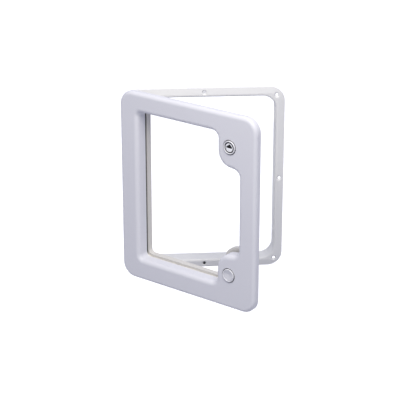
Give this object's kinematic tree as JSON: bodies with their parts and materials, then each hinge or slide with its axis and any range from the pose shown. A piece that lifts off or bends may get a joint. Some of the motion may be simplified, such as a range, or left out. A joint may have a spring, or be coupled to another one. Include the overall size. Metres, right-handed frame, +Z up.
{
  "type": "cassette toilet service door",
  "caption": "White plastic service door for a caravan's toilet cassette locker: hinged frame for a wall panel, push lock and push button, in a screwed-on mounting frame.",
  "frame": {"origin": "middle of the mounting flange's back face, which lies on the vehicle's outer wall", "axes": "+X to the right and +Z up as seen from outside, +Y into the wall; the door stands 42 degrees open on the hinge at its left"},
  "size_m": [0.309, 0.2492, 0.374],
  "materials": {
    "door_plastic": "satin moulded",
    "frame_plastic": "satin moulded",
    "rear_plastic": "fine grained",
    "gasket_rubber": "matt",
    "seal_rubber": "matt foam",
    "screw_steel": "zinc plated",
    "pin_steel": "drawn",
    "spring_steel": "drawn",
    "bezel_plastic": "gloss moulded",
    "barrel_chrome": "plated",
    "plug_brass": "plated brass",
    "latch_plastic": "moulded",
    "bolt_plastic": "acetal",
    "button_plastic": "gloss moulded"
  },
  "bodies": {
    "frame": {"mounting_frame": "frame_plastic"},
    "door": {"door_front_frame": "door_plastic", "door_rear_frame": "rear_plastic", "panel_gasket": "gasket_rubber", "door_seal": "seal_rubber", "rear_screws": "screw_steel", "hinge_pin_upper": "pin_steel", "hinge_pin_lower": "pin_steel", "lock_bezel": "bezel_plastic", "button_bezel": "bezel_plastic", "upper_latch_case": "latch_plastic", "upper_latch_cover": "latch_plastic", "upper_latch_spring": "spring_steel", "lower_latch_case": "latch_plastic", "lower_latch_cover": "latch_plastic", "lower_latch_spring": "spring_steel", "case_screws": "screw_steel"},
    "upper_button": {"lock_barrel": "barrel_chrome", "barrel_clip": "spring_steel"},
    "key_plug": {"key_plug": "plug_brass", "lock_cam": "pin_steel"},
    "upper_latch": {"upper_latch_bolt": "bolt_plastic"},
    "lower_button": {"push_button": "button_plastic", "button_clip": "spring_steel"},
    "lower_latch": {"lower_latch_bolt": "bolt_plastic"}
  },
  "joints": [
    {"name": "door_hinge", "type": "hinge", "parent": "frame", "child": "door", "pos_m": [-0.15, -0.0125, 0], "axis": [0, 0, -1], "range_deg": [-42, 55]},
    {"name": "lock_push", "type": "slide", "parent": "door", "child": "upper_button", "axis": [0.6691, 0.7431, 0], "range_m": [0, 0.006], "stiffness_N_per_m": 300},
    {"name": "key_turn", "type": "hinge", "parent": "upper_button", "child": "key_plug", "pos_m": [0.03504, -0.17911, 0.126], "axis": [0.6691, 0.7431, 0], "range_deg": [0, 90]},
    {"name": "upper_latch_slide", "type": "slide", "parent": "door", "child": "upper_latch", "axis": [-0.7431, 0.6691, 0], "range_m": [0, 0.006], "stiffness_N_per_m": 200, "deforming": ["upper_latch_spring"]},
    {"name": "button_push", "type": "slide", "parent": "door", "child": "lower_button", "axis": [0.6691, 0.7431, 0], "range_m": [0, 0.006], "stiffness_N_per_m": 300},
    {"name": "lower_latch_slide", "type": "slide", "parent": "door", "child": "lower_latch", "axis": [-0.7431, 0.6691, 0], "range_m": [0, 0.006], "stiffness_N_per_m": 200, "deforming": ["lower_latch_spring"]}
  ],
  "couplings": [
    {"joint": "upper_latch_slide", "follows": "lock_push", "ratio": 1},
    {"joint": "lower_latch_slide", "follows": "button_push", "ratio": 1}
  ]
}
